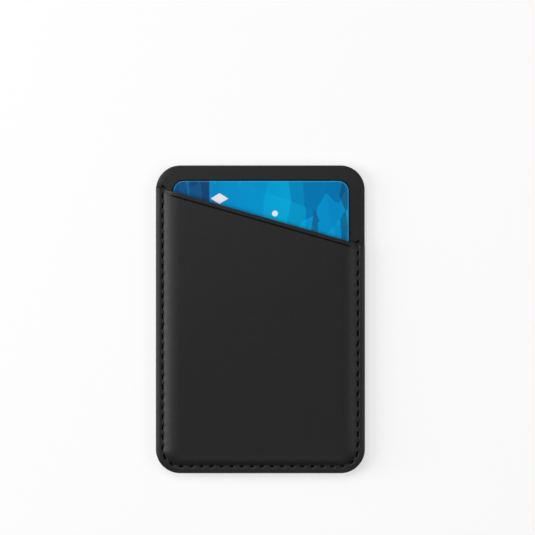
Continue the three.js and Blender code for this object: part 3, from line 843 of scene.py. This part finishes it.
def add_back_panel(shape, material):
    """The panel behind the card, pressed round it and pierced at the seam's two ends."""
    surface = Surface()
    low, high = shape.back_bottom, shape.pocket_floor
    low_round = 0.1
    side_lean, lean_width = 0.26, 1.6
    rows = []
    profile = [(low_round, low), (0.0, low + low_round)]
    profile += [(inset, high - drop) for drop, inset in rounded_edge(shape.edge_round)]
    profile += [(inset, high) for inset in (0.5, 0.65, 0.8, 1.0, 1.2, 1.4, lean_width)]
    for inset, z in profile:
        x, y = shape.full_ring(inset)
        past_corner = (np.abs(x) - shape.right + shape.corner_radius) / shape.corner_radius
        bare = smooth_step(0.5, 3.0, -shape.below_mouth(x, y)) * smooth_step(0.3, 1.0, past_corner)
        lean = side_lean * max(0.0, 1 - inset / lean_width) * bare if z > low + low_round else 0.0
        rows.append(surface.add(x, y, z - lean))
    for lower, upper in zip(rows, rows[1:]):
        surface.band(lower, upper, closed=True)
    surface.polygon(rows[0][::-1])

    ends = [(x, shape.mouth_y(x) + shape.end_hole_rise) for x in (-shape.seam_x, shape.seam_x)]
    x, y = grid_points(shape.right, -shape.head, shape.head, 2.0)
    keep = inside_round_box(x, y, shape.right, -shape.head, shape.head, shape.corner_radius, 1.9)
    for end_x, end_y in ends:
        keep &= np.maximum(np.abs(x - end_x), np.abs(y - end_y)) > 2.9
    cloud = [(x[keep], y[keep])]
    for end_x, end_y in ends:
        middle = end_x - math.copysign(0.6, end_x)
        cloud.append(grid_points(1.8, end_y - 1.2, end_y + 2.6, 0.11, centre_x=middle))

    card, half = node_box("card")

    def past_card(x, y):
        """Distance of a point outside the card's outline, negative inside it."""
        reach_x = np.abs(x - card.x) - (half.x - CARD_CORNER)
        reach_y = np.abs(y - card.y) - (half.y - CARD_CORNER)
        outside = np.hypot(np.maximum(reach_x, 0), np.maximum(reach_y, 0))
        return outside + np.minimum(np.maximum(reach_x, reach_y), 0) - CARD_CORNER

    counts = [round(2 * (side - CARD_CORNER) / 0.5) for side in half[:2]]
    for reach in (-0.25, -0.08, 0.0, 0.06, 0.12, 0.19, 0.28, 0.42, 0.65):
        x, y = rounded_outline(half.x + reach, half.y + reach, CARD_CORNER + reach, 16, counts)
        x, y = x + card.x, y + card.y
        shown = shape.below_mouth(x, y) < 2.0
        cloud.append((x[shown], y[shown]))

    def end_gap(x, y, end_x, end_y):
        """Distance from the end of the seam, in an oval that leans and is longer one way."""
        lean_cos, lean_sin, stretch = 0.87, math.copysign(0.5, end_x), 1.6
        across, up = x - end_x, y - end_y
        return np.hypot((across * lean_cos + up * lean_sin) / stretch, up * lean_cos - across * lean_sin)

    def face(x, y):
        """Height of the panel: a groove round the card, two end holes and streaks about them."""
        groove_depth, hole_depth, dish_depth, streak_depth, streaks = 0.16, 0.78, 0.14, 0.06, 11
        groove = np.abs(past_card(x, y) - 0.06)
        sunk = groove_depth * (1 - smooth_step(0.05, 0.34, groove))
        for end_x, end_y in ends:
            gap = end_gap(x, y, end_x, end_y)
            ray = np.cos(streaks * np.arctan2(y - end_y, x - end_x))
            sunk += hole_depth * (1 - smooth_step(0.4, 0.6, gap)) + dish_depth * bell(gap, 0.8)
            sunk += streak_depth * ray * smooth_step(0.55, 0.9, gap) * np.exp(-gap / 1.1)
        return high - sunk

    surface.fill(rows[-1], cloud, face)
    x, y, z = surface.all_points().T
    gap_x = shape.right - np.abs(x)
    gap_y = shape.head - np.abs(y)
    # Lighter along the outline: rubbed wear and a painted highlight.
    rub = 0.7 * np.exp(-np.minimum(gap_x, gap_y) / 0.35)
    # Painted shade in the two end holes: this mask darkens their colour in the material.
    hole = sum(1 - smooth_step(0.4, 0.6, end_gap(x, y, *end)) for end in ends) * (z > low + 0.2)
    piece = surface.make("back_leather", attributes={"rub": rub, "hole": hole})
    finish_piece(piece, material, "panel_leather", "back_panel")


def add_rear_cover(shape, material):
    """The cover against the phone, with a rim that closes the core in."""
    surface = Surface()
    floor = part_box("core_frame")[0].z / MM
    top = shape.back_bottom
    rim_width, top_round = 0.7, 0.1
    step_depth, step_width = 0.035, 0.5
    profile = rounded_edge(shape.edge_round)
    profile += [(0.0, top - top_round), (top_round, top), (rim_width, top), (rim_width, floor)]
    rows = surface.rings(profile, shape.full_ring)
    surface.polygon(rows[-1])

    ring, ring_half = node_box("ring_yoke")
    outer = ring_half.x
    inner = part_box("core_disc")[1].x / MM + 0.3
    bar, bar_half = node_box("bar_magnet")

    def from_ring(x, y):
        return np.hypot(x - ring.x, y - ring.y)

    def past_bar(x, y):
        return np.maximum(np.abs(x - bar.x) - bar_half.x, np.abs(y - bar.y) - bar_half.y)

    def print_through(x, y):
        """The magnets show as a faint step through the cover."""
        past_ring = np.abs(from_ring(x, y) - (outer + inner) / 2) - (outer - inner) / 2
        nearest = np.minimum(past_ring, past_bar(x, y))
        return step_depth * (1 - smooth_step(step_width, 0.0, nearest))

    cloud = []
    turn = np.linspace(0, 2 * math.pi, 241)[:-1]
    for radius in (*np.linspace(inner - 0.7, inner + 0.1, 6), *np.linspace(outer - 0.1, outer + 0.7, 6)):
        cloud.append((ring.x + radius * np.cos(turn), ring.y + radius * np.sin(turn)))
    for reach in np.linspace(-0.1, 0.7, 6):
        across, up = bar_half.x + reach, bar_half.y + reach
        along_x = np.linspace(-across, across, 15)
        along_y = np.linspace(-up, up, 41)[1:-1]
        for side in (-1, 1):
            cloud.append((bar.x + along_x, np.full(len(along_x), bar.y + side * up)))
            cloud.append((np.full(len(along_y), bar.x + side * across), bar.y + along_y))
    x, y = grid_points(shape.right, -shape.head, shape.head, 2.5)
    keep = inside_round_box(x, y, shape.right, -shape.head, shape.head, shape.corner_radius, 2.0)
    for gap in (from_ring(x, y) - inner + 0.3, from_ring(x, y) - outer - 0.3, past_bar(x, y) - 0.3):
        keep &= np.abs(gap) > 0.9
    cloud.append((x[keep], y[keep]))
    surface.fill(rows[0], cloud, print_through, upwards=False)
    piece = surface.make("rear_microfibre_cover")
    finish_piece(piece, material, "rear_microfibre", "rear_cover")


def add_card(material):
    """The card, with an attribute that marks its rim for a painted highlight."""
    surface = Surface()
    centre, half = node_box("card")
    low, high = centre.z - half.z, centre.z + half.z
    bevel = 0.07

    def outline(inset):
        x, y = rounded_outline(half.x - inset, half.y - inset, CARD_CORNER - inset, 16, (1, 1))
        return centre.x + x, centre.y + y

    profile = [(bevel, low), (0.0, low + bevel), (0.0, high - bevel), (0.3 * bevel, high - 0.3 * bevel)]
    profile += [(bevel, high), (0.22, high), (0.32, high)]
    rows = surface.rings(profile, outline)
    surface.polygon(rows[0][::-1])
    surface.polygon(rows[-1])
    # Rim mask for the painted highlight: full on the walls and bevel, fading over a thin margin of the top.
    edge = np.repeat([1.0, 1.0, 1.0, 1.0, 0.9, 0.6, 0.0], len(rows[0]))
    piece = surface.make("bank_card", sharp=math.radians(60), attributes={"edge": edge})
    finish_piece(piece, material, "card_print", "card")


def twisted_strand(surface, path, ply_radius, turns):
    """Three plies wound round each other along a path of points in millimetres."""
    sides, plies = 7, 3
    wind_radius = 1.08 * ply_radius
    angle = np.linspace(0, 2 * math.pi, sides + 1)[:-1]
    run = np.gradient(path, axis=0)
    run /= np.linalg.norm(run, axis=1, keepdims=True)
    side = np.cross(run, (0.0, 0.0, 1.0))
    lengths = np.linalg.norm(side, axis=1, keepdims=True)
    steady = side[np.argmax(lengths)] / lengths.max()
    side = np.where(lengths > 0.2, side / np.maximum(lengths, 1e-9), steady)
    side -= run * np.sum(side * run, axis=1, keepdims=True)
    side /= np.linalg.norm(side, axis=1, keepdims=True)
    up = np.cross(side, run)
    gaps = np.linalg.norm(np.diff(path, axis=0), axis=1)
    share = np.concatenate([[0.0], np.cumsum(gaps)]) / gaps.sum()
    for ply in range(plies):
        wind = 2 * math.pi * (ply / plies + turns * share)
        offset = wind_radius * (np.cos(wind)[:, None] * side + np.sin(wind)[:, None] * up)
        rows = []
        for centre, across, rise in zip(path + offset, side, up):
            turned = np.cos(angle)[:, None] * across + np.sin(angle)[:, None] * rise
            rows.append(surface.add(*(centre + ply_radius * turned).T))
        for lower, upper in zip(rows, rows[1:]):
            surface.band(upper, lower, closed=True)
        surface.polygon(rows[0])
        surface.polygon(rows[-1][::-1])


def stitch_path(shape):
    """One stitch in its own frame: level in the middle and diving into a hole at each end."""
    from_hole, dive, steps = 0.82, 0.64, 17
    half = 0.5 * shape.step - from_hole
    turn = np.linspace(-QUARTER_TURN, QUARTER_TURN, steps)
    return np.stack([half * np.sin(turn), np.zeros(steps), -dive * (1 - np.cos(turn)) ** 1.6], axis=-1)


def end_stitch_path(shape, at_start):
    """The end stitch: up from the back panel, over the mouth's edge and down into the next hole."""
    direction = 1 if at_start else -1
    end = 0.0 if at_start else shape.seam_length
    leg = (shape.seam_rise_left if at_start else shape.seam_rise_right) + 0.08
    run = shape.step - shape.leg_offset - leg
    top = shape.channel_floor - 0.1
    inward = direction * shape.leg_side
    knots = [
        (0.0, 0.0, shape.pocket_floor - 0.65),
        (0.0, 0.0, shape.pocket_floor + 0.1),
        (0.03, 0.0, top - 0.45),
        (0.15, 0.02, top - 0.1),
        (0.42, 0.2, top + 0.05),
        (0.72, 0.7, top + 0.02),
        (0.92, 1.0, top - 0.12),
        (1.0, 1.0, top - 0.75),
    ]
    points = []
    for share, swing, z in knots:
        points.append(shape.beside_seam(end + direction * (leg + share * run), swing * inward, z))
    return smooth_through(np.array(points), 34)


def smooth_through(points, count):
    """A number of points of a smooth curve through knots."""
    padded = np.vstack([2 * points[0] - points[1], points, 2 * points[-1] - points[-2]])
    found = []
    for place in np.linspace(0, len(points) - 1, count):
        index = min(int(place), len(points) - 2)
        t = place - index
        a, b, c, d = padded[index:index + 4]
        found.append(0.5 * (
            2 * b + (c - a) * t + (2 * a - 5 * b + 4 * c - d) * t ** 2 + (3 * b - a - 3 * c + d) * t ** 3
        ))
    return np.array(found)


def stitch_tree():
    """Sets one copy of a stitch on each point of a path, turned along it."""
    tree = bpy.data.node_groups.new("seam_stitches", "GeometryNodeTree")
    sockets = {
        "Path": "Geometry", "Stitch": "Object", "Count": "Int", "Slant": "Float", "Wobble": "Float",
        "Seed": "Int", "Thread": "Material",
    }
    for name, kind in sockets.items():
        tree.interface.new_socket(name, in_out="INPUT", socket_type="NodeSocket" + kind)
    tree.interface.new_socket("Seam", in_out="OUTPUT", socket_type="NodeSocketGeometry")
    graph = Graph(tree)
    inputs = tree.nodes.new("NodeGroupInput")

    def given(name):
        return Wire(graph, inputs.outputs[name])

    curve = graph.add("GeometryNodeMeshToCurve", None, {"Mesh": given("Path")})
    points = graph.add("GeometryNodeResampleCurve", None, {"Curve": curve, "Count": given("Count")})
    stitch = graph.add("GeometryNodeObjectInfo", None, {"Object": given("Stitch")}, output="Geometry")
    tangent = graph.add("GeometryNodeInputTangent")
    facing = graph.add("FunctionNodeAlignRotationToVector", {"axis": "X"}, {"Vector": tangent})
    limits = []
    for sign in (-1.0, 1.0):
        parts = [given("Wobble") * (sign * share) for share in (0.4, 0.3, 1.0)]
        limits.append(graph.add("ShaderNodeCombineXYZ", None, dict(enumerate(parts))))
    random = graph.add(
        "FunctionNodeRandomValue",
        {"data_type": "FLOAT_VECTOR"},
        {0: limits[0], 1: limits[1], "Seed": given("Seed")},
    )
    slant = graph.add("ShaderNodeCombineXYZ", None, {2: given("Slant")})
    lean = graph.add("ShaderNodeVectorMath", {"operation": "ADD"}, {0: random, 1: slant})
    turn = graph.add("FunctionNodeEulerToRotation", None, {"Euler": lean})
    rotation = graph.add(
        "FunctionNodeRotateRotation", {"rotation_space": "LOCAL"}, {"Rotation": facing, "Rotate By": turn}
    )
    copies = graph.add(
        "GeometryNodeInstanceOnPoints", None, {"Points": points, "Instance": stitch, "Rotation": rotation}
    )
    solid = graph.add("GeometryNodeRealizeInstances", None, {"Geometry": copies})
    painted = graph.add("GeometryNodeSetMaterial", None, {"Geometry": solid, "Material": given("Thread")})
    graph.add("NodeGroupOutput", None, {"Seam": painted})
    return tree


def evaluated_copy(piece, tree, values):
    """The plain mesh that a geometry nodes modifier makes of a piece, with the modifier gone."""
    modifier = piece.modifiers.new("nodes", "NODES")
    modifier.node_group = tree
    for item in tree.interface.items_tree:
        if item.in_out == "INPUT" and item.name in values:
            modifier[item.identifier] = values[item.name]
    depsgraph = bpy.context.evaluated_depsgraph_get()
    mesh = bpy.data.meshes.new_from_object(piece.evaluated_get(depsgraph))
    piece.modifiers.remove(modifier)
    return mesh


def add_seam(shape, material):
    """Like stitches set along the seam by nodes, joined with the two end stitches."""
    single = Surface()
    twisted_strand(single, stitch_path(shape), shape.ply_radius, turns=1.5)
    stitch = single.make("single_stitch")
    path = bpy.data.meshes.new("seam_path")
    count = shape.stitches - 2
    samples = 20 * count
    middles = np.linspace(1.5, shape.stitches - 1.5, samples + 1) * shape.step
    points = [Vector(shape.beside_seam(along, 0.0, shape.channel_floor)) * MM for along in middles]
    path.from_pydata(points, [(i, i + 1) for i in range(samples)], [])
    seam = new_object("seam_path", path)
    slant = math.atan2(2 * shape.leg_side, shape.step - 2 * shape.leg_offset)
    values = {
        "Stitch": stitch, "Count": count, "Slant": slant, "Wobble": math.radians(3.0), "Seed": 7,
        "Thread": material,
    }
    mesh = evaluated_copy(seam, stitch_tree(), values)
    ends = Surface()
    for at_start in (True, False):
        twisted_strand(ends, end_stitch_path(shape, at_start), shape.ply_radius, turns=2.2)
    end_pair = ends.make("seam_ends")
    end_pair.data.materials.append(material)
    piece = new_object("needle_stitches", mesh)
    both = [piece, end_pair]
    with bpy.context.temp_override(
        active_object=piece, object=piece, selected_objects=both, selected_editable_objects=both
    ):
        bpy.ops.object.join()
    for spare in (stitch, seam):
        bpy.data.objects.remove(spare)
    piece.data.materials.clear()
    piece.data.polygons.foreach_set("material_index", [0] * len(piece.data.polygons))
    piece.data.shade_smooth()
    finish_piece(piece, material, "black_thread", "needle_thread")


# Studio
def add_light(name, location, size, energy):
    """A soft rectangular light that faces the holder."""
    data = bpy.data.lights.new(name, "AREA")
    data.shape = "RECTANGLE"
    data.size, data.size_y = size
    data.energy = energy
    light = new_object(name, data)
    light.location = location
    light.rotation_euler = (-Vector(location)).to_track_quat("-Z", "Y").to_euler()


def add_studio(settings, colours, shape):
    """Floor, lights, even surroundings and a camera straight above."""
    scene = bpy.context.scene
    scene.view_settings.view_transform = "Standard"
    floor = Surface()
    reach = 3000.0
    corners = floor.add([-reach, reach, reach, -reach], [-reach, -reach, reach, reach], 0.0)
    floor.polygon(corners)
    plane = floor.make("studio_floor")
    plane.data.materials.append(floor_material(colours))

    add_light("key_light", (-1.2, 0.1, 0.62), (0.6, 1.1), settings.key_power)
    add_light("overhead_light", (-0.4, 0.75, 1.3), (0.9, 0.9), settings.top_power)
    add_light("head_light", (0.0, 1.1, 0.8), (1.2, 0.5), settings.head_power)
    add_light("fill_light", (1.0, 0.0, 0.95), (0.6, 0.8), settings.fill_power)
    add_light("foot_light", (0.1, -0.8, 1.2), (0.8, 0.6), settings.foot_power)
    world = bpy.data.worlds.new("studio_surroundings")
    world.use_nodes = True
    background = world.node_tree.nodes["Background"]
    background.inputs["Color"].default_value = (1.0, 1.0, 1.0, 1.0)
    background.inputs["Strength"].default_value = settings.sky
    scene.world = world

    data = bpy.data.cameras.new("studio_camera")
    data.sensor_width = 36.0
    data.lens = data.sensor_width * settings.view_distance / settings.view_width
    data.clip_start = 0.01
    camera = new_object("studio_camera", data)
    camera.location = (settings.view_x, settings.view_y, shape.bead_top * MM + settings.view_distance)
    scene.camera = camera


# Operators, one for each piece or group of like pieces
class HOLDER_OT_front_panel(bpy.types.Operator):
    """Build the crowned front of the pocket with its needle holes and crease"""
    bl_idname = "holder.front_panel"
    bl_label = "Front Panel"

    def execute(self, context):
        scene = context.scene
        add_front_panel(HolderShape(scene.holder_sizes), shared_leather(scene))
        return {"FINISHED"}


class HOLDER_OT_back_panel(bpy.types.Operator):
    """Build the leather panel behind the card"""
    bl_idname = "holder.back_panel"
    bl_label = "Back Panel"

    def execute(self, context):
        scene = context.scene
        add_back_panel(HolderShape(scene.holder_sizes), shared_leather(scene))
        return {"FINISHED"}


class HOLDER_OT_rear_cover(bpy.types.Operator):
    """Build the microfibre cover that lies against the phone"""
    bl_idname = "holder.rear_cover"
    bl_label = "Rear Cover"

    def execute(self, context):
        scene = context.scene
        material = nap_material("rear_nap", scene.holder_colours.rear_nap, 0.3)
        add_rear_cover(HolderShape(scene.holder_sizes), material)
        return {"FINISHED"}


class HOLDER_OT_seam(bpy.types.Operator):
    """Sew the twisted thread along the three closed sides"""
    bl_idname = "holder.seam"
    bl_label = "Seam"

    def execute(self, context):
        scene = context.scene
        material = thread_material(scene.holder_colours)
        add_seam(HolderShape(scene.holder_sizes), material)
        paint_nodes(["bobbin_thread"], material)
        return {"FINISHED"}


class HOLDER_OT_card(bpy.types.Operator):
    """Put the printed card into the pocket"""
    bl_idname = "holder.card"
    bl_label = "Card"

    def execute(self, context):
        scene = context.scene
        add_card(card_material(scene.holder_colours))
        return {"FINISHED"}


class HOLDER_OT_core(bpy.types.Operator):
    """Give the hidden core, its magnets and the lining their finishes"""
    bl_idname = "holder.core"
    bl_label = "Core"

    def execute(self, context):
        magnets = [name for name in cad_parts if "magnet" in name]
        steel = metal_material("thin_steel", (0.42, 0.42, 0.43), 0.3)
        paint_nodes(["core_frame", "core_disc"], board_material())
        paint_nodes(magnets, metal_material("nickel_plating", (0.62, 0.6, 0.56), 0.18))
        paint_nodes(["ring_yoke", "bar_yoke", "shield_plate"], steel)
        nap = context.scene.holder_colours.rear_nap
        paint_nodes(["pocket_lining"], nap_material("lining_nap", nap, 0.18))
        return {"FINISHED"}


class HOLDER_OT_studio(bpy.types.Operator):
    """Set up the pale floor, the soft lights and the camera"""
    bl_idname = "holder.studio"
    bl_label = "Studio"

    def execute(self, context):
        scene = context.scene
        add_studio(scene.holder_studio, scene.holder_colours, HolderShape(scene.holder_sizes))
        return {"FINISHED"}


def shared_leather(scene):
    """Both panels are cut from one leather."""
    return bpy.data.materials.get("black_leather") or leather_material(scene.holder_colours)


def paint_nodes(names, material):
    """Gives CAD nodes one material."""
    for name in names:
        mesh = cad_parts[name].data
        mesh.materials.clear()
        mesh.materials.append(material)


PIECE_OPERATORS = (
    HOLDER_OT_rear_cover,
    HOLDER_OT_core,
    HOLDER_OT_back_panel,
    HOLDER_OT_card,
    HOLDER_OT_front_panel,
    HOLDER_OT_seam,
    HOLDER_OT_studio,
)


class HOLDER_PT_sidebar(bpy.types.Panel):
    """Lists the holder's values and its operators"""
    bl_idname = "HOLDER_PT_sidebar"
    bl_label = "Card Holder"
    bl_space_type = "VIEW_3D"
    bl_region_type = "UI"
    bl_category = "Card Holder"

    def draw(self, context):
        for group_name in ("holder_sizes", "holder_colours", "holder_studio"):
            box = self.layout.box()
            group = getattr(context.scene, group_name)
            for name in type(group).__annotations__:
                box.prop(group, name)
        for operator in PIECE_OPERATORS:
            self.layout.operator(operator.bl_idname)


CLASSES = (HolderSizes, HolderColours, StudioSettings, *PIECE_OPERATORS, HOLDER_PT_sidebar)


def register():
    for cls in CLASSES:
        bpy.utils.register_class(cls)
    bpy.types.Scene.holder_sizes = bpy.props.PointerProperty(type=HolderSizes)
    bpy.types.Scene.holder_colours = bpy.props.PointerProperty(type=HolderColours)
    bpy.types.Scene.holder_studio = bpy.props.PointerProperty(type=StudioSettings)


def unregister():
    del bpy.types.Scene.holder_studio
    del bpy.types.Scene.holder_colours
    del bpy.types.Scene.holder_sizes
    for cls in reversed(CLASSES):
        bpy.utils.unregister_class(cls)


def main():
    register()
    bpy.ops.holder.rear_cover()
    bpy.ops.holder.core()
    bpy.ops.holder.back_panel()
    bpy.ops.holder.card()
    bpy.ops.holder.front_panel()
    bpy.ops.holder.seam()
    bpy.ops.holder.studio()


if __name__ == "__main__":
    main()
